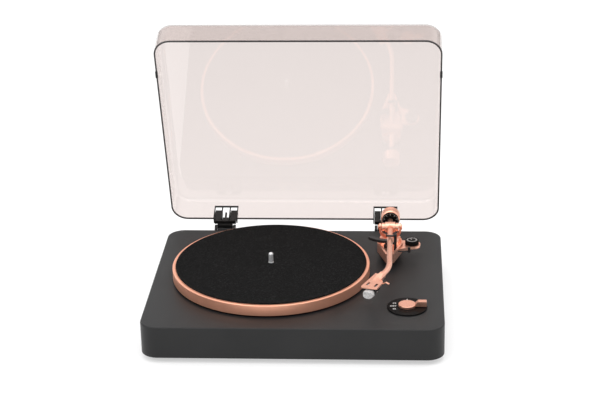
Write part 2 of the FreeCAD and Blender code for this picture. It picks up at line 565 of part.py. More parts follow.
def build_head():
    low = "plate_top - plate_thick"
    half = "head_half"
    plate = padded([("-" + half, -22), ("-" + half, -72), ("-" + half + " + 1", -73), (half, -69.5),
                    (11.4, -50), (9.5, -43.5), (5, -38), (5, -24)], 0, "plate_thick")
    place(plate, 0, 0, low)
    slope = padded([(-29, "tube_radius + 1.2"), (-29, 8), (-50, 8), (-50, "plate_top"), (-46, "plate_top")],
                   0, 14, "YZ_Plane", both=True)
    neck = cut(rod(0, -46, 0, "tube_radius + 1.1", "46 - neck_start", "Y"), slope)
    bore = rod(0, "-neck_end", 0, "tube_radius", 20, "Y")
    slots = [block("%d * screw_spacing / 2" % s, "-screw_back", "plate_top - 4", 3.4, 10, 8) for s in (-1, 1)]
    node("headshell", at_head(cut(fuse(plate, neck), bore, *slots)))

    wave = [(6, 0), (11.6, 0), (14, 2), (16, 3), (18, 2.1), (20.6, 1.5), (20.6, 2.6), (18, 3.2), (16, 4.1),
            (13.6, 3.1), (11.2, 1.1), (6, 1.1)]
    strip = padded(wave, 0, 3.6, "XZ_Plane", both=True)
    node("finger_lift", at_head(group(place(strip, 0, -45.5, low + " - 1.1"))))

    body = padded([(-8.5, low), (-8.5, -9.5), (-6, -12.5), (6, -12.5), (8.5, -9.5), (8.5, low)], 0, 15,
                  "XZ_Plane", both=True)
    place(body, 0, -59.5, 0)
    holes = [rod("%d * screw_spacing / 2" % s, "-screw_back", -14, 1.25, 14) for s in (-1, 1)]
    seats = [rod("%d * screw_spacing / 2" % s, "-screw_back", -14, 2.3, 4.5) for s in (-1, 1)]
    pins = [rod(x, -52.2, -7, 0.5, 5, "Y") for x in (-5, -1.7, 1.7, 5)]
    node("cartridge", at_head(fuse(cut(body, *holes, *seats), *pins)))
    screws = [fuse(rod("%d * screw_spacing / 2" % s, "-screw_back", -9.5, 1.2, "plate_top - 0.9 + 9.5"),
                   rod("%d * screw_spacing / 2" % s, "-screw_back", -10.9, 2.2, 1.4)) for s in (-1, 1)]
    node("cartridge_screws", at_head(group(*screws)))
    holder = padded([(-4, -6.9), (-4, -14.2), (4, -14.2), (4, -6.9)], 0, 2.6, "XZ_Plane", both=True)
    place(holder, 0, -68.35, 0)
    cantilever = rod(0, -72.4, -13.6, 0.35, 4, "Y")
    tip = cone(0, -72, -15.4, 0.05, 0.3, 1.8)
    node("stylus", at_head(fuse(holder, cantilever, tip)))

    outer = [(-5.4, -5.4), (-7.1, -8.6), (-7.1, -14), (-5, -15.2), (-4.6, -15.7), (-2.2, -16.5)]
    outer = outer + [(-x, z) for x, z in reversed(outer)]
    inner = [(-4.8, -6.4), (-6.1, -8.9), (-6.1, -13.4), (-4.4, -14.7), (-1.8, -15.8)]
    inner = inner + [(-x, z) for x, z in reversed(inner)]
    shell = place(padded(outer, 0, 9.4, "XZ_Plane", both=True), 0, -71.9, 0)
    hollow = place(padded(inner, 0, 9.4, "XZ_Plane", both=True), 0, -70.7, 0)
    node("stylus_guard", at_head(cut(shell, hollow)))


def build_weight():
    """Counterweight, its threaded sleeve and the tracking-force ring, on the stub's own low line."""
    def on_stub(thing):
        return at_pivot(thing, "pivot_z - weight_drop")
    sleeve = [("stub_radius + running_gap", 0), ("sleeve_radius", 0), ("sleeve_radius", 12),
              ("stub_radius + running_gap", 12)]
    node("weight_sleeve", on_stub(turned(sleeve, 0, 0, 0, "Y")))
    bind(NODES["weight_sleeve"], "Placement.Base.y", "pivot_y + weight_front - 3")
    bore = "sleeve_radius + running_gap"
    weight = [(bore, -4), (8, -4), (8, 0), ("weight_radius - 2", 0), ("weight_radius", 2),
              ("weight_radius", "weight_length - 1.5"), ("weight_radius - 1.5", "weight_length"),
              (0, "weight_length"), (0, "weight_length - 3"), (bore, "weight_length - 3")]
    node("counterweight", on_stub(turned(weight, 0, 0, 0, "Y")))
    bind(NODES["counterweight"], "Placement.Base.y", "pivot_y + weight_front")
    ring = [("stub_radius + 0.7", -5.3), ("dial_radius - 0.6", -5.3), ("dial_radius", -4.7),
            ("dial_radius", -0.05), ("8 + running_gap", -0.05), ("8 + running_gap", -4.05),
            ("stub_radius + 0.7", -4.05)]
    node("force_dial", on_stub(turned(ring, 0, 0, 0, "Y")))
    bind(NODES["force_dial"], "Placement.Base.y", "pivot_y + weight_front")


# ---------------------------------------------------------------- dust cover and hinges
def at_hinge(thing, x=0):
    """Swing a piece, drawn with the cover shut and the hinge line at its origin, to the open angle."""
    place(thing, x, "hinge_y", "hinge_z")
    return turn(thing, (-1, 0, 0), "open_angle")


def build_cover():
    middle = "cover_rear - cover_depth / 2"
    outside = slab(0, middle, "cover_rim", "cover_width", "cover_depth", "cover_height", "cover_corner",
                   "cover_round")
    inside = slab(0, middle, "cover_rim - 1", "cover_width - 2 * cover_wall", "cover_depth - 2 * cover_wall",
                  "cover_height - cover_wall + 1", "cover_corner - cover_wall", "cover_round - cover_wall")
    notches = [block(x, "cover_rear", "cover_rim - 1", "socket_width + 0.2", 12, "socket_depth + 1.1")
               for x in ("left_hinge_x", "right_hinge_x")]
    node("dust_cover", at_hinge(cut(outside, inside, *notches)))
    pads = [block("%d * (cover_width / 2 - cover_wall / 2)" % s, "cover_rear - cover_depth + 62",
                  "cover_rim - 1.2",
                  "cover_wall + 1.4", 12, 1.2) for s in (-1, 1)]
    node("cover_bumpers", at_hinge(group(*pads)))


def build_hinge(side, x):
    rim = "cover_rim"
    face = "(cover_rear - cover_wall)"
    wide = "socket_width"
    frame = block(0, face + " + socket_thick / 2", rim, wide, "socket_thick", "socket_depth")
    cells = [block(x_cell, face + " + socket_thick / 2", rim + " - 1", width, "socket_thick + 2",
                   "socket_depth - 1") for x_cell, width in ((-12.6, 10.4), (0, 10.8), (12.6, 10.4))]
    brow = box("-socket_width / 2", face + " + cover_wall", rim + " + socket_depth - 11", wide,
               "socket_thick", 11)
    node("hinge_socket_" + side, at_hinge(cut(frame, brow, *cells), x))
    prong_y = face + " + 5.4"
    prongs = [block(x_cell, prong_y, rim + " - 3", 9.6, 5, 26) for x_cell in (-12.6, 12.6)]
    middle_pin = block(0, prong_y, rim + " - 3", 3, 5, 21)
    middle_block = block(0, prong_y, rim + " - 3", 9.6, 6, 8)
    root = block(0, prong_y, rim + " - 4.2", 34.6, 6.4, 4)
    barrel = rod(-12.4, 0, 0, 5, 24.8, "X")
    web = block(0, face + " + 10.6", -1.5, 24.8, 8.6, 6)
    bore = rod(-20, 0, 0, "pin_radius + running_gap", 40, "X")
    leaf = fuse(root, *prongs, middle_pin, middle_block, barrel, web)
    node("hinge_leaf_" + side, at_hinge(cut(leaf, bore), x))

    back = "plinth_depth / 2"
    plate = box(x + " - 17", back, "hinge_z - 34", 34, 3, 32)
    ears = [cut(fuse(rod(x + " + " + str(near), "hinge_y", "hinge_z", "ear_radius", 4, "X"),
                     box(x + " + " + str(near), back, "hinge_z - 18", 4, "hinge_y - plinth_depth / 2", 16),
                     box(x + " + " + str(near), "hinge_y - 5", "hinge_z - 14", 4, 10, 14)),
                rod(x + " - 20", "hinge_y", "hinge_z", "pin_radius", 40, "X")) for near in (-17, 13)]
    node("hinge_bracket_" + side, fuse(plate, *ears))


def build_hinges():
    sides = (("left", "left_hinge_x"), ("right", "right_hinge_x"))
    for side, x in sides:
        build_hinge(side, x)
    node("hinge_pins", group(*[rod(x + " - 17.5", "hinge_y", "hinge_z", "pin_radius", 35, "X")
                               for _, x in sides]))
    node("hinge_screws", group(*[
        fuse(turned([(0, 0), (3, 0), (2.6, 1.4), (0, 1.4)], x + " + %d" % dx, "plinth_depth / 2 + 3",
                    "hinge_z - %d" % dz, "Y"))
        for _, x in sides for dx in (-8, 8) for dz in (10, 28)]))


def write_parts():
    doc.recompute()
    for thing in doc.Objects:
        if "Invalid" in thing.State or "Error" in thing.State:
            raise RuntimeError("%s (%s) failed: %s" % (thing.Name, thing.Label, thing.State))
    os.makedirs("parts", exist_ok=True)
    for name, thing in NODES.items():
        shape = thing.Shape
        if shape.isNull() or not shape.isValid() or not shape.Solids:
            raise RuntimeError("%s has no valid solid" % name)
        shape.exportStep("parts/%s.step" % name)
    print("%d parts written" % len(NODES))


build_plinth()
build_platter()
build_motor()
build_belt()
build_electronics()
build_selector()
build_arm_base()
build_rest_and_lift()
build_yoke()
build_arm()
build_head()
build_weight()
build_cover()
build_hinges()
write_parts()
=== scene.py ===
"""The record player's looks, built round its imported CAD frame. Shapes are in millimetres until piece()."""
import json
import math
import random

import bmesh
import bpy
from mathutils import Matrix, Vector

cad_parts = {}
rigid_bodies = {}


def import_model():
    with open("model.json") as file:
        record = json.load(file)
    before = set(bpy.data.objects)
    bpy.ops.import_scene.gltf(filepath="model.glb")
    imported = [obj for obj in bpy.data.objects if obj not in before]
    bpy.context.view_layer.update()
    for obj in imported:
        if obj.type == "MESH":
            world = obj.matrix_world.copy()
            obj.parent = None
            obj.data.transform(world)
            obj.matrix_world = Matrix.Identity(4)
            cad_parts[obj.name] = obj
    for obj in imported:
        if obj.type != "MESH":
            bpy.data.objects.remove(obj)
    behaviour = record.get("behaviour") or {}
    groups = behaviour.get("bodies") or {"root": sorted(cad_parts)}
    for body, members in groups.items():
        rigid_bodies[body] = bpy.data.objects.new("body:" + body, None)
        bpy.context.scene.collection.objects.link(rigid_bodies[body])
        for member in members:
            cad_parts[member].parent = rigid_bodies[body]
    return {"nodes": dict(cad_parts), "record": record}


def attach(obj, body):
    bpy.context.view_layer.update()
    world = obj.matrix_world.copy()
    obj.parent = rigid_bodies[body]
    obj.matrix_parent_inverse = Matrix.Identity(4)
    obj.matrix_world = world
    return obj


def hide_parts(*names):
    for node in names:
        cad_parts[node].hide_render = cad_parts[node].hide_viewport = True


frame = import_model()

for extra in [o for o in bpy.context.scene.objects if o.name in ("Cube", "Light", "Camera")]:
    bpy.data.objects.remove(extra)
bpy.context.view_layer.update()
random.seed(11)

MM = 0.001
BODY_OF = {node: body for body, nodes in frame["record"]["behaviour"]["bodies"].items() for node in nodes}
SLOT_OF = {part["node"]: part["material_slot"] for part in frame["record"]["subparts"]}

PLATTER = Vector((-41, 7, 58.5))
PIVOT = Vector((139.2, 104.4, 94))
STUB = PIVOT + Vector((0, 0, -7))
SELECTOR = Vector((165.6, -104.3, 58))
SKATE = Vector((173.1, 74.3, 79))
HINGE = Vector((0, 193.6, 49.5))
HINGE_X = 130.5
JACKS_Y, JACKS_Z = 179.2, 30
OPEN = Matrix.Translation(HINGE) @ Matrix.Rotation(math.radians(-71.3), 4, "X")
TUBE_R = 4.2
STRAIGHT, BEND, NECK_END = 137, 156, 28
OFFSET = math.radians(24)
RIM_HIGH = 16.6
MAT_RADIUS, MAT_THICK = 145, 2
MAT_TOP = PLATTER.z + RIM_HIGH + MAT_THICK


# ------------------------------------------------------------------ materials
class Tree:
    """A material's node tree, with short ways to add and join nodes."""

    def __init__(self, name):
        self.material = bpy.data.materials.new(name)
        self.material.use_nodes = True
        self.nodes = self.material.node_tree.nodes
        self.links = self.material.node_tree.links
        self.shader = self.nodes["Principled BSDF"]

    def add(self, kind, **inputs):
        node = self.nodes.new(kind)
        for key, value in inputs.items():
            key = key.replace("_", " ")
            if hasattr(value, "is_output"):
                self.links.new(value, node.inputs[key])
            else:
                node.inputs[key].default_value = value
        return node

    def math(self, operation, a, b=0.0):
        node = self.nodes.new("ShaderNodeMath")
        node.operation = operation
        for socket, value in zip(node.inputs, (a, b)):
            if hasattr(value, "is_output"):
                self.links.new(value, socket)
            else:
                socket.default_value = value
        return node.outputs[0]

    def place(self, stretch=(1, 1, 1)):
        spot = self.nodes.new("ShaderNodeTexCoord").outputs["Object"]
        return self.add("ShaderNodeMapping", Vector=spot, Scale=stretch).outputs[0]

    def round_place(self, centre, along=0.02):
        """Coordinates that run round an upright axis, for a turned or brushed finish."""
        spot = self.nodes.new("ShaderNodeTexCoord").outputs["Object"]
        split = self.add("ShaderNodeSeparateXYZ", Vector=spot).outputs
        x = self.math("SUBTRACT", split[0], centre.x * MM)
        y = self.math("SUBTRACT", split[1], centre.y * MM)
        out = self.math("SQRT", self.math("ADD", self.math("MULTIPLY", x, x), self.math("MULTIPLY", y, y)))
        angle = self.math("MULTIPLY", self.math("ARCTAN2", y, x), along)
        joined = self.nodes.new("ShaderNodeCombineXYZ")
        for socket, value in zip(joined.inputs, (out, angle, split[2])):
            self.links.new(value, socket)
        return joined.outputs[0]

    def noise(self, where, scale, detail=4.0, rough=0.55):
        made = self.add("ShaderNodeTexNoise", Vector=where, Scale=scale, Detail=detail, Roughness=rough)
        return made.outputs[0]

    def span(self, value, low, high):
        node = self.add("ShaderNodeMapRange", Value=value, To_Min=low, To_Max=high)
        node.inputs["From Min"].default_value = 0.3
        node.inputs["From Max"].default_value = 0.7
        return node.outputs[0]

    def blend(self, factor, first, second):
        node = self.nodes.new("ShaderNodeMix")
        node.data_type = "RGBA"
        self.links.new(factor, node.inputs[0])
        for socket, value in ((node.inputs[6], first), (node.inputs[7], second)):
            if hasattr(value, "is_output"):
                self.links.new(value, socket)
            else:
                socket.default_value = value
        return node.outputs[2]

    def set(self, **inputs):
        for key, value in inputs.items():
            socket = self.shader.inputs[key.replace("_", " ")]
            if hasattr(value, "is_output"):
                self.links.new(value, socket)
            else:
                socket.default_value = value

    def bump(self, height, strength, distance):
        made = self.add("ShaderNodeBump", Height=height, Strength=strength, Distance=distance)
        self.links.new(made.outputs[0], self.shader.inputs["Normal"])


def tone(colour, factor):
    return (*(min(1, c * factor) for c in colour), 1)


def surface(name, colour, rough=(0.4, 0.55), shade=0.12, blotch=30, grain=900, bump=0.2, depth=0.05,
            stretch=(1, 1, 1), turned=None, **more):
    """A solid finish: colour in soft blotches, roughness and a fine bump from a grain."""
    tree = Tree(name)
    where = tree.round_place(turned) if turned is not None else tree.place(stretch)
    cloud = tree.noise(tree.place(), blotch, 5)
    fine = tree.noise(where, grain, 3)
    tree.set(Base_Color=tree.blend(tree.span(cloud, 0, 1), tone(colour, 1 - shade), tone(colour, 1 + shade)),
             Roughness=tree.span(fine, *rough), **more)
    tree.bump(fine, bump, depth * MM)
    return tree.material


def felt(name, colour):
    """Pressed felt: matted fibres in three directions, with paler fibres and lint lying on top."""
    tree = Tree(name)
    fibres = [tree.noise(tree.place(s), 260, 6, 0.75) for s in ((1, 6, 1), (6, 1, 1), (3, 3, 1))]
    mat = tree.math("MULTIPLY", tree.math("ADD", tree.math("ADD", fibres[0], fibres[1]), fibres[2]), 0.3333)
    spread = tree.math("MULTIPLY", tree.math("SUBTRACT", mat, 0.3333), 3)
    tint = tree.blend(tree.span(spread, 0, 1), tone(colour, 0.05), tone(colour, 2.6))
    lint = tree.math("GREATER_THAN", tree.noise(tree.place((1, 2, 1)), 420, 2), 0.62)
    tree.set(Base_Color=tree.blend(lint, tint, tone(colour, 4.5)), Roughness=0.95, Specular_IOR_Level=0.05)
    tree.bump(mat, 0.9, 0.4 * MM)
    return tree.material


def clear(name, colour, rough, shadow, ior=1.49, bump=0.02):
    """Clear plastic with a faint haze of handling; lamps pass it by way of a tinted Transparent shader."""
    tree = Tree(name)
    haze = tree.noise(tree.place(), 22, 6)
    tree.set(Base_Color=(*colour, 1), Roughness=tree.span(haze, *rough), Transmission_Weight=1.0, IOR=ior)
    tree.bump(haze, bump, 0.2 * MM)
    through = tree.add("ShaderNodeBsdfTransparent", Color=(*shadow, 1))
    mixed = tree.nodes.new("ShaderNodeMixShader")
    tree.links.new(tree.nodes.new("ShaderNodeLightPath").outputs["Is Shadow Ray"], mixed.inputs[0])
    tree.links.new(tree.shader.outputs[0], mixed.inputs[1])
    tree.links.new(through.outputs[0], mixed.inputs[2])
    tree.links.new(mixed.outputs[0], tree.nodes["Material Output"].inputs[0])
    return tree.material


COPPER = (0.90, 0.475, 0.345)
BLACK = (0.012, 0.012, 0.0125)
MATERIALS = {
    "plinth_black": surface("plinth_black", (0.0158, 0.0158, 0.0162), (0.42, 0.5), 0.16, 9, 1500, 0.22, 0.02,
                            Specular_IOR_Level=0.26),
    "cover_board": surface("cover_board", (0.02, 0.019, 0.018), (0.6, 0.8), 0.3, 60, 700, 0.5),
    "steel": surface("steel", (0.56, 0.56, 0.57), (0.25, 0.4), 0.08, 120, 2400, 0.1, 0.02, Metallic=1.0),
    "steel_plate": surface("steel_plate", (0.48, 0.48, 0.49), (0.3, 0.48), 0.15, 60, 900, 0.15,
                           stretch=(1, 12, 1), Metallic=1.0),
    "rubber_black": surface("rubber_black", (0.014, 0.014, 0.014), (0.7, 0.85), 0.2, 80, 1600, 0.4),
    "copper": surface("copper", COPPER, (0.26, 0.34), 0.04, 40, 2600, 0.05, 0.01, Metallic=0.92),
    "felt": felt("felt", (0.0052, 0.0052, 0.0052)),
    "belt_ring_plastic": surface("belt_ring_plastic", (0.03, 0.03, 0.03), (0.4, 0.5), turned=PLATTER),
    "chrome": surface("chrome", (0.72, 0.72, 0.73), (0.2, 0.34), 0.03, 200, 1800, 0.06, 0.01, turned=PLATTER,
                      Metallic=0.6),
    "brass": surface("brass", (0.70, 0.50, 0.20), (0.22, 0.36), 0.1, 90, 1500, 0.1, 0.02, Metallic=1.0),
    "motor_can": surface("motor_can", (0.35, 0.35, 0.36), (0.35, 0.5), 0.1, 60, 900, Metallic=1.0),
    "board_green": surface("board_green", (0.01, 0.09, 0.035), (0.3, 0.45), 0.25, 150, 900),
    "plastic_black": surface("plastic_black", BLACK, (0.3, 0.42), 0.15, 120, 1900, 0.25, 0.03,
                             Specular_IOR_Level=0.3),
    "gold_jack": surface("gold_jack", (0.83, 0.58, 0.2), (0.15, 0.28), 0.05, 120, 1900, 0.05, 0.02,
                         Metallic=1.0),
    "dial_black": surface("dial_black", (0.005, 0.0048, 0.0048), (0.3, 0.4), 0.12, 90, 1500, 0.15, 0.02,
                          Specular_IOR_Level=0.04),
    "stylus_plastic": surface("stylus_plastic", (0.6, 0.56, 0.54), (0.2, 0.35), 0.08, 300, 1500, 0.1,
                              Transmission_Weight=0.35),
    # clear_guard: its strong blotches of paler and greyer colour are painted highlight and shade, standing
    # in for light on the guard's moulded ribs
    "clear_guard": surface("clear_guard", (0.86, 0.81, 0.79), (0.14, 0.3), 0.3, 300, 900, 0.25, 0.06,
                           Transmission_Weight=0.35),
    "smoked_acrylic": clear("smoked_acrylic", (0.755, 0.69, 0.67), (0.0, 0.035), (0.88, 0.84, 0.82)),
    "hinge_black": surface("hinge_black", (0.006, 0.0058, 0.0058), (0.25, 0.38), 0.15, 120, 1700, 0.25, 0.03,
                           Specular_IOR_Level=0.3),
}
# painted shade: a dark opaque finish for the cover's cut rim and notch edges, standing in for the darkness
# light gives the tinted acrylic's edges
PAINTED_EDGE_SHADE = surface("cover_rim_painted_shade", (0.035, 0.030, 0.030), (0.12, 0.22), 0.2, 60, 900, 0.1)
INK = surface("pale_print", (0.72, 0.70, 0.68), (0.45, 0.6), 0.1, 500, 2400, 0.3)
GREY_RING = surface("grey_print", (0.15, 0.143, 0.138), (0.4, 0.5), 0.1, 300, 2400, 0.2)
PORCELAIN = surface("jack_white", (0.75, 0.75, 0.73), (0.3, 0.4), 0.05, 300)
RED = surface("jack_red", (0.55, 0.03, 0.02), (0.3, 0.4), 0.1, 300)
BRUSHED_RIM = surface("platter_copper", (0.95, 0.46, 0.31), (0.3, 0.42), 0.05, 30, 1500, 0.12, 0.015,
                      turned=PLATTER, Metallic=0.8)
for node_name, thing in frame["nodes"].items():
    thing.data.materials.clear()
    thing.data.materials.append(MATERIALS[SLOT_OF[node_name]])


# ------------------------------------------------------------------ shapes
def piece(name, bm, body, slot, *nodes, move=None, material=None, sharp=38):
    """Turn a bmesh in millimetres into a shown piece that rides on a body and stands for CAD nodes."""
    if move is not None:
        bm.transform(move)
    bmesh.ops.recalc_face_normals(bm, faces=bm.faces)
    bmesh.ops.scale(bm, vec=(MM, MM, MM), verts=bm.verts)
    mesh = bpy.data.meshes.new(name)
    bm.to_mesh(mesh)
    bm.free()
    mesh.polygons.foreach_set("use_smooth", [True] * len(mesh.polygons))
    mesh.set_sharp_from_angle(angle=math.radians(sharp))
    obj = bpy.data.objects.new(name, mesh)
    bpy.context.scene.collection.objects.link(obj)
    even = obj.modifiers.new("even_normals", "WEIGHTED_NORMAL")
    even.keep_sharp = True
    mesh.materials.append(material or MATERIALS[slot])
    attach(obj, body)
    if nodes:
        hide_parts(*nodes)
    return obj


def rounded(points, radius, steps=4, closed=False):
    """Round a flat outline's corners; a point's third number is its own radius."""
    out = []
    last = len(points) - 1
    for i, point in enumerate(points):
        here = Vector(point[:2])
        size = point[2] if len(point) > 2 else radius
        if size == 0 or (not closed and i in (0, last)):
            out.append((here.x, here.y))
            continue
        back = Vector(points[i - 1][:2]) - here
        on = Vector(points[(i + 1) % len(points)][:2]) - here
        cut = min(size, 0.45 * back.length, 0.45 * on.length)
        start, end = here + back.normalized() * cut, here + on.normalized() * cut
        for k in range(steps + 1):
            t = k / steps
            spot = (1 - t) ** 2 * start + 2 * t * (1 - t) * here + t * t * end
            out.append((spot.x, spot.y))
    return out


AXES = {"Z": Matrix.Identity(4), "Y": Matrix.Rotation(math.radians(-90), 4, "X"),
        "X": Matrix.Rotation(math.radians(90), 4, "Y")}


def lathe(profile, at, axis="Z", steps=160, closed=False, shape=None):
    """Turn an outline of (radius, height) about an axis; shape may change a point's radius and height."""
    bm = bmesh.new()
    rings = []
    for radius, height in profile:
        ring = []
        for i in range(1 if radius < 1e-6 else steps):
            angle = 2 * math.pi * i / steps
            r, h = shape(radius, height, angle) if shape else (radius, height)
            ring.append(bm.verts.new((r * math.cos(angle), r * math.sin(angle), h)))
        rings.append(ring)
    for one, two in zip(rings, rings[1:] + (rings[:1] if closed else [])):
        for i in range(steps):
            j = (i + 1) % steps
            corners = [one[i % len(one)], one[j % len(one)], two[j % len(two)], two[i % len(two)]]
            corners = list(dict.fromkeys(corners))
            if len(corners) > 2:
                bm.faces.new(corners)
    bm.transform(Matrix.Translation(at) @ AXES[axis])
    return bm


def soften(bm, width, segments=3, angle=32):
    """Round a mesh's own sharp edges by a small bevel."""
    bm.normal_update()
    edges = [e for e in bm.edges if len(e.link_faces) == 2 and e.calc_face_angle(0) > math.radians(angle)]
    bmesh.ops.bevel(bm, geom=edges, offset=width, offset_type="OFFSET", segments=segments, profile=0.5,
                    affect="EDGES", clamp_overlap=True)
    return bm


def from_cad(node):
    bm = bmesh.new()
    bm.from_mesh(frame["nodes"][node].data)
    bmesh.ops.remove_doubles(bm, verts=bm.verts, dist=2e-6)
    bmesh.ops.dissolve_limit(bm, angle_limit=math.radians(0.6), verts=bm.verts, edges=bm.edges)
    bmesh.ops.scale(bm, vec=(1 / MM,) * 3, verts=bm.verts)
    return bm


def finished(node, width):
    """A CAD node's own shape with its edges eased."""
    return piece(node + "_eased", soften(from_cad(node), width), BODY_OF[node], SLOT_OF[node], node)


def prism(outline, low, high):
    bm = bmesh.new()
    bottom = [bm.verts.new((x, y, low)) for x, y in outline]
    top = [bm.verts.new((x, y, high)) for x, y in outline]
    bm.faces.new(bottom)
    bm.faces.new(top)
    for i in range(len(outline)):
        j = (i + 1) % len(outline)
        bm.faces.new((bottom[i], bottom[j], top[j], top[i]))
    return bm


def together(*meshes):
    whole = bmesh.new()
    for bm in meshes:
        mesh = bpy.data.meshes.new("part")
        bm.to_mesh(mesh)
        bm.free()
        whole.from_mesh(mesh)
        bpy.data.meshes.remove(mesh)
    return whole


def tick(centre, angle, near, far, width, thick=0.05):
    """One printed stroke on a dial, pointing out from its centre."""
    bm = prism([(near, -width / 2), (far, -width / 2), (far, width / 2), (near, width / 2)], 0, thick)
    bm.transform(Matrix.Translation(centre) @ Matrix.Rotation(angle, 4, "Z"))
    return bm


def numeral(text, size, move, thick=0.05):
    curve = bpy.data.curves.new("numeral", "FONT")
    curve.body = text
    curve.size = size
    curve.extrude = thick / 2
    curve.offset = 0.008 * size
    curve.align_x = curve.align_y = "CENTER"
    obj = bpy.data.objects.new("numeral", curve)
    bpy.context.scene.collection.objects.link(obj)
    bpy.context.view_layer.update()
    mesh = bpy.data.meshes.new_from_object(obj.evaluated_get(bpy.context.evaluated_depsgraph_get()))
    bpy.data.objects.remove(obj)
    bm = bmesh.new()
    bm.from_mesh(mesh)
    bmesh.ops.remove_doubles(bm, verts=bm.verts, dist=1e-5)
    bm.transform(move)
    return bm


# ------------------------------------------------------------------ platter, mat and spindle
rim = [(4.25, RIM_HIGH), (4.25, 3), (18, 3), (18, 11.6), (140, 11.6), (140, 0), (150, 0, 1.0),
       (150, RIM_HIGH, 1.3), (145.6, RIM_HIGH, 0.3), (145.2, 16.2, 0.2), (144.8, 16.2, 0.2),
       (144.4, RIM_HIGH, 0.3)]
piece("platter_rim", lathe(rounded(rim, 0.5, closed=True), PLATTER, steps=288, closed=True),
      "platter_group", "copper", "platter", material=BRUSHED_RIM)


def fuzz(radius, height, angle):
    """Felt is cut a little ragged and lies a little uneven on top."""
    wave = 0.06 * math.sin(7 * angle + radius / 9) + 0.04 * math.sin(13 * angle - radius / 5)
    ragged = random.uniform(-0.12, 0.0) if radius > MAT_RADIUS - 1 else 0
    on_top = height > MAT_THICK - 0.3 and radius < MAT_RADIUS - 1
    return radius + ragged, height + (min(wave, 0.08) if on_top else 0)


mat_top = [(r, MAT_THICK - 0.1) for r in range(140, 5, -9)]
mat_outline = [(4.4, 0), (MAT_RADIUS, 0), (MAT_RADIUS, MAT_THICK, 0.6), *mat_top,
               (4.4, MAT_THICK - 0.05, 0.4)]
mat = piece("felt_mat", lathe(rounded(mat_outline, 0.3, 2, closed=True), PLATTER + Vector((0, 0, RIM_HIGH)),
                              steps=360, closed=True, shape=fuzz), "platter_group", "felt", "slipmat")

spindle = [(0, 20), (4, 20), (5, 21), (5, 59), (12, 59), (12, 61.5), (4.2, 61.5), (4.2, MAT_TOP, 0.1),
           (3.6, MAT_TOP, 0.1), (3.6, 90.4, 1.6), (2.4, 92.4, 1.0), (0, 93)]
shaft_foot = Vector((PLATTER.x, PLATTER.y, 0))
piece("spindle", lathe(rounded(spindle, 0.4, 6), shaft_foot, steps=64), "platter_group", "chrome",
      "platter_shaft")

# ------------------------------------------------------------------ plinth and feet
for node_name, width in (("feet", 0.6), ("tonearm_pedestal", 0.4), ("rear_panel", 0.3), ("motor", 0.8)):
    finished(node_name, width)

# ------------------------------------------------------------------ tonearm
for node_name, width in (
        ("tonearm_base", 0.55), ("arm_yoke", 0.6), ("pivot_screws", 0.3), ("bearing_hub", 0.45),
        ("rear_stub", 0.4), ("headshell", 0.35), ("finger_lift", 0.3), ("cartridge", 0.3),
        ("cartridge_screws", 0.25), ("stylus", 0.1), ("stylus_guard", 0.3), ("cue_lever", 0.3),
        ("arm_rest", 0.35), ("rest_clip", 0.3), ("lift_cylinder", 0.3), ("cue_lift_arm", 0.5),
        ("weight_sleeve", 0.3)):
    finished(node_name, width)


def tube():
    """The tonearm tube: a straight run, one bend and a short straight end, swept with a round section."""
    line = [(Vector((0, -y, 0)), 0.0) for y in (5, 30, 60, 90, 120)]
    bow = (BEND - STRAIGHT) / math.tan(OFFSET / 2)
    for k in range(25):
        a = OFFSET * k / 24
        line.append((Vector((-bow + bow * math.cos(a), -STRAIGHT - bow * math.sin(a), 0)), a))
    line.append((Vector((-math.sin(OFFSET) * NECK_END, -BEND - math.cos(OFFSET) * NECK_END, 0)), OFFSET))
    bm = bmesh.new()
    rings = []
    for spot, heading in line:
        side = Vector((math.cos(heading), -math.sin(heading), 0))
        rings.append([bm.verts.new(spot + TUBE_R * (math.cos(t) * side + math.sin(t) * Vector((0, 0, 1))))
                      for t in (2 * math.pi * i / 56 for i in range(56))])
    for one, two in zip(rings, rings[1:]):
        for i in range(56):
            j = (i + 1) % 56
            bm.faces.new((one[i], one[j], two[j], two[i]))
    bm.faces.new(rings[0])
    bm.faces.new(rings[-1])
    bm.transform(Matrix.Translation(PIVOT))
    return bm


piece("tonearm_tube", tube(), "arm", "copper", "arm_tube")

weight = [(6.55, -4), (8, -4), (8, 0), (13, 0, 0.3), (15, 2, 0.5), (15, 12.6, 0.15), (14.6, 13, 0.15),
          (14.6, 13.4, 0.15), (15, 13.8, 0.15), (15, 17.5, 0.5), (13.5, 19, 0.5), (5, 19, 0.2),
          (5, 18.4, 0.2), (0, 18.4), (0, 16), (6.55, 16)]
piece("counterweight_turned", lathe(rounded(weight, 0.3), STUB + Vector((0, 46, 0)), "Y", 128, closed=True),
      "weight", "copper", "counterweight")


def knurl(teeth, outer, depth):
    def shape(radius, height, angle):
        if radius < outer - 0.05:
            return radius, height
        return radius - depth * (0.5 + 0.5 * math.cos(teeth * angle)), height
    return shape


dial = [(4.7, -5.3, 0.1), (12.5, -5.3, 0.3), (13.1, -4.7, 0), (13.1, -0.4, 0), (12.8, -0.05), (8.05, -0.05),
        (8.05, -4.05, 0), (4.7, -4.05, 0.1)]
dial_ring = lathe(rounded(dial, 0.2, closed=True), STUB + Vector((0, 46, 0)), "Y", 480, closed=True,
                  shape=knurl(60, 13.1, 0.25))
piece("force_dial_ring", dial_ring, "weight_dial", "dial_black", "force_dial")
FACE = Matrix.Translation(STUB + Vector((0, 40.69, 0))) @ Matrix.Rotation(math.radians(90), 4, "X")
marks = [tick(Vector(), math.radians(9 * k + 90), 11.6 if k % 4 else 11.0, 12.4, 0.28 if k % 4 else 0.42)
         for k in range(40)]
for k in range(10):
    a = math.radians(90 - 36 * k)
    marks.append(numeral(str(k % 4), 1.9, Matrix.Translation((9.7 * math.cos(a), 9.7 * math.sin(a), 0.02))
                         @ Matrix.Rotation(a - math.pi / 2, 4, "Z")))
piece("force_dial_print", together(*marks), "weight_dial", None, material=INK, move=FACE)

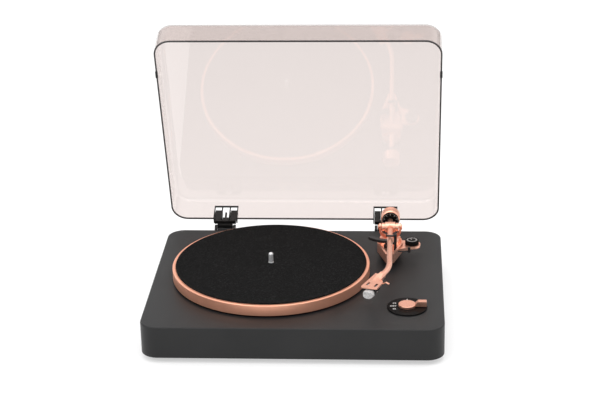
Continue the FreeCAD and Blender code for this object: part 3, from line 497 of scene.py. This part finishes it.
skate = [(0, -5), (2, -5), (2, 0.3), (10.6, 0.3), (10.6, 6.4, 0), (10.2, 6.8, 0), (8.8, 7, 0.3),
         (8.4, 6.7, 0.2), (0, 6.7)]
piece("skate_dial_turned", lathe(rounded(skate, 0.2), SKATE, steps=432, shape=knurl(54, 10.6, 0.3)),
      "skate_dial", "dial_black", "anti_skate_dial")
ring_band = [(5.9, 6.7), (8.2, 6.7), (8.2, 6.78), (5.9, 6.78)]
piece("skate_dial_band", lathe(ring_band, SKATE, closed=True, steps=96), "skate_dial", None,
      material=GREY_RING)
marks = [tick(SKATE + Vector((0, 0, 6.78)), math.radians(30 * k), 6.4, 7.9, 0.4) for k in range(10)]
marks.append(tick(SKATE + Vector((0, 0, 6.7)), math.radians(115), 1.2, 5.2, 0.7))
piece("skate_dial_print", together(*marks), "skate_dial", None, material=INK)

# ------------------------------------------------------------------ speed selector
plate = [(3.05, 0), (29.5, 0), (29.5, 1.5, 0.3), (28.9, 2, 0.3), (3.05, 2)]
disc = lathe(rounded(plate, 0.2, closed=True), SELECTOR - Vector((0, 0, 2)), closed=True, steps=192)
piece("selector_disc", disc, "base", "dial_black", "selector_plate")
finished("selector_knob", 0.7)
TOP = SELECTOR + Vector((0, 0, 0.01))
marks = [numeral(text, 5.4, Matrix.Translation(TOP + Vector((x, y, 0.02))))
         for text, x, y in (("33", -18.6, 9.4), ("OFF", -20.4, 0), ("45", -18.6, -9.4))]
marks.append(tick(TOP, math.radians(90), 20.4, 24.2, 1.3))
piece("selector_print", together(*marks), "base", None, material=INK)
DOT = [(0, 0), (0.9, 0), (0.9, 0.5, 0.15), (0, 0.5)]
dots = [lathe(rounded(DOT, 0), TOP + Vector((x, y, 0)), steps=32) for x, y in ((-4, 22), (4, 22), (0, -20))]
piece("selector_dots", together(*dots), "base", "plastic_black")


# ------------------------------------------------------------------ dust cover and hinges
def loop(half_x, half_y, corner, z, middle, steps=14):
    """One level of a box with round corners, as points."""
    points = []
    for quarter, (sx, sy) in enumerate(((1, 1), (-1, 1), (-1, -1), (1, -1))):
        for k in range(steps + 1):
            a = math.radians(90 * quarter + 90 * k / steps)
            points.append((sx * (half_x - corner) + corner * math.cos(a),
                           middle + sy * (half_y - corner) + corner * math.sin(a), z))
    return points


def cover_shell():
    """The cover, shut, about its hinge line: outer wall, rounded brow, flat lid, and the same inside."""
    half_x, half_y, middle, low, high, wall = 217, 178, -193, 8.5, 56.5, 2.5
    levels = []
    for inset, brow, base in ((0, 8, high), (wall, 5.5, high - wall)):
        eased = inset + 0.35 if inset == 0 else inset - 0.35
        side = [(eased, low)] + [(inset, z) for z in (low + 0.35, low + 1.7, low + 12, base - brow)]
        for k in range(1, 9):
            a = math.radians(90 * k / 8)
            side.append((inset + brow * (1 - math.cos(a)), base - brow + brow * math.sin(a)))
        levels.append(side)
    bm = bmesh.new()
    walls = []
    for side in levels:
        walls.append([[bm.verts.new(p) for p in loop(half_x - i, half_y - i, 26 - i, z, middle)]
                      for i, z in side])
    for rings in (*walls, [walls[0][0], walls[1][0]]):
        for one, two in zip(rings, rings[1:]):
            for i in range(len(one)):
                j = (i + 1) % len(one)
                bm.faces.new((one[i], one[j], two[j], two[i]))
    for rings in walls:
        bm.faces.new(rings[-1])
    bmesh.ops.recalc_face_normals(bm, faces=bm.faces)
    return bm


def cover():
    """The clear cover: a notch for each hinge, its rim and notch edges in a dark glossy finish that paints
    the shade seen in the acrylic's cut edges, and then it is opened.
    """
    shell = piece("cover_shell", cover_shell(), "cover", "smoked_acrylic", "dust_cover")
    for x in (-HINGE_X, HINGE_X):
        cutter = prism([(x - 19.6, -21), (x + 19.6, -21), (x + 19.6, -9), (x - 19.6, -9)], 4, 39.6)
        bmesh.ops.recalc_face_normals(cutter, faces=cutter.faces)
        bmesh.ops.scale(cutter, vec=(MM,) * 3, verts=cutter.verts)
        mesh = bpy.data.meshes.new("notch")
        cutter.to_mesh(mesh)
        cutter.free()
        tool = bpy.data.objects.new("notch", mesh)
        bpy.context.scene.collection.objects.link(tool)
        cut = shell.modifiers.new("notch", "BOOLEAN")
        cut.object, cut.operation, cut.solver = tool, "DIFFERENCE", "EXACT"
        bpy.context.view_layer.update()
        done = bpy.data.meshes.new_from_object(shell.evaluated_get(bpy.context.evaluated_depsgraph_get()))
        shell.modifiers.remove(cut)
        shell.data = done
        bpy.data.objects.remove(tool)
    mesh = shell.data
    mesh.materials.append(PAINTED_EDGE_SHADE)
    # painted shade: faces of the bottom rim and of the notch edges take the dark edge finish
    for face in mesh.polygons:
        centre = face.center / MM
        at_notch = abs(abs(centre.x) - HINGE_X) < 19.9 and centre.y > -18 and centre.z < 39.7
        if centre.z < 10.2 or (at_notch and abs(face.normal.y) < 0.5):
            face.material_index = 1
    mesh.transform(Matrix.Scale(MM, 4) @ OPEN @ Matrix.Scale(1 / MM, 4))


cover()
for node_name, width in (
        ("cover_bumpers", 0.3), ("hinge_socket_left", 0.4), ("hinge_socket_right", 0.4),
        ("hinge_leaf_left", 0.4), ("hinge_leaf_right", 0.4), ("hinge_bracket_left", 0.5),
        ("hinge_bracket_right", 0.5), ("hinge_screws", 0.15), ("ground_nut", 0.4),
        ("line_switch_slider", 0.2)):
    finished(node_name, width)

# ------------------------------------------------------------------ rear jacks
for name, x, colour in (("jack_insert_left", -44, PORCELAIN), ("jack_insert_right", -24, RED)):
    insert = rounded([(1.75, 0), (3.15, 0), (3.15, 6.5, 0.3), (1.75, 6.5, 0.3)], 0, closed=True)
    barrel = lathe(insert, Vector((x, JACKS_Y, JACKS_Z)), "Y", 48, closed=True)
    piece(name, barrel, "base", None, material=colour)


# ------------------------------------------------------------------ stage: floor, light and camera
def floor():
    mesh = bpy.data.meshes.new("floor")
    size = 9
    corners = [(x * size, y * size, 0) for x, y in ((-1, -1), (1, -1), (1, 1), (-1, 1))]
    mesh.from_pydata(corners, [], [(0, 1, 2, 3)])
    obj = bpy.data.objects.new("floor", mesh)
    obj.location.z = -0.0002
    bpy.context.scene.collection.objects.link(obj)
    tree = Tree("floor_white")
    tree.set(Base_Color=(0.5, 0.5, 0.5, 1), Roughness=0.9, Specular_IOR_Level=0.0)
    tree.shader.inputs["Emission Color"].default_value = (1, 1, 1, 1)
    tree.shader.inputs["Emission Strength"].default_value = 0.5
    mesh.materials.append(tree.material)


def lamp(name, place, target, size, power):
    light = bpy.data.lights.new(name, "AREA")
    light.shape, light.size, light.energy = "SQUARE", size, power
    obj = bpy.data.objects.new(name, light)
    obj.location = place
    obj.rotation_euler = (Vector(target) - Vector(place)).to_track_quat("-Z", "Y").to_euler()
    bpy.context.scene.collection.objects.link(obj)


def world():
    sky = bpy.data.worlds.new("studio")
    bpy.context.scene.world = sky
    sky.use_nodes = True
    nodes, links = sky.node_tree.nodes, sky.node_tree.links
    up = nodes.new("ShaderNodeSeparateXYZ")
    links.new(nodes.new("ShaderNodeTexCoord").outputs["Generated"], up.inputs[0])
    ramp = nodes.new("ShaderNodeValToRGB")
    ramp.color_ramp.elements[0].position, ramp.color_ramp.elements[0].color = 0.0, (0.35, 0.35, 0.35, 1)
    ramp.color_ramp.elements[1].position, ramp.color_ramp.elements[1].color = 0.38, (1, 1, 1, 1)
    links.new(up.outputs[2], ramp.inputs[0])
    links.new(ramp.outputs[0], nodes["Background"].inputs[0])
    nodes["Background"].inputs[1].default_value = 1.18


def camera():
    yaw, pitch, roll = math.radians(-3.8045), math.radians(22.188), math.radians(1.202)
    ahead = Vector((math.sin(yaw) * math.cos(pitch), math.cos(yaw) * math.cos(pitch), -math.sin(pitch)))
    right = Vector((math.cos(yaw), -math.sin(yaw), 0))
    down = ahead.cross(right)
    across = math.cos(roll) * right + math.sin(roll) * down
    under = math.cos(roll) * down - math.sin(roll) * right
    data = bpy.data.cameras.new("camera")
    data.sensor_width = 36
    data.lens = 99.7
    data.clip_start, data.clip_end = 0.1, 50
    obj = bpy.data.objects.new("camera", data)
    turn = Matrix((across, -under, -ahead)).transposed().to_4x4()
    obj.matrix_world = Matrix.Translation((0.1579, -2.2915, 1.1184)) @ turn
    bpy.context.scene.collection.objects.link(obj)
    bpy.context.scene.camera = obj


floor()
world()
lamp("overhead", (0.1, -0.05, 1.7), (0, 0, 0.05), 1.3, 10)
lamp("key", (-1.3, -1.2, 1.7), (0, 0, 0.05), 0.9, 8)
camera()
bpy.context.scene.view_settings.view_transform = "Standard"
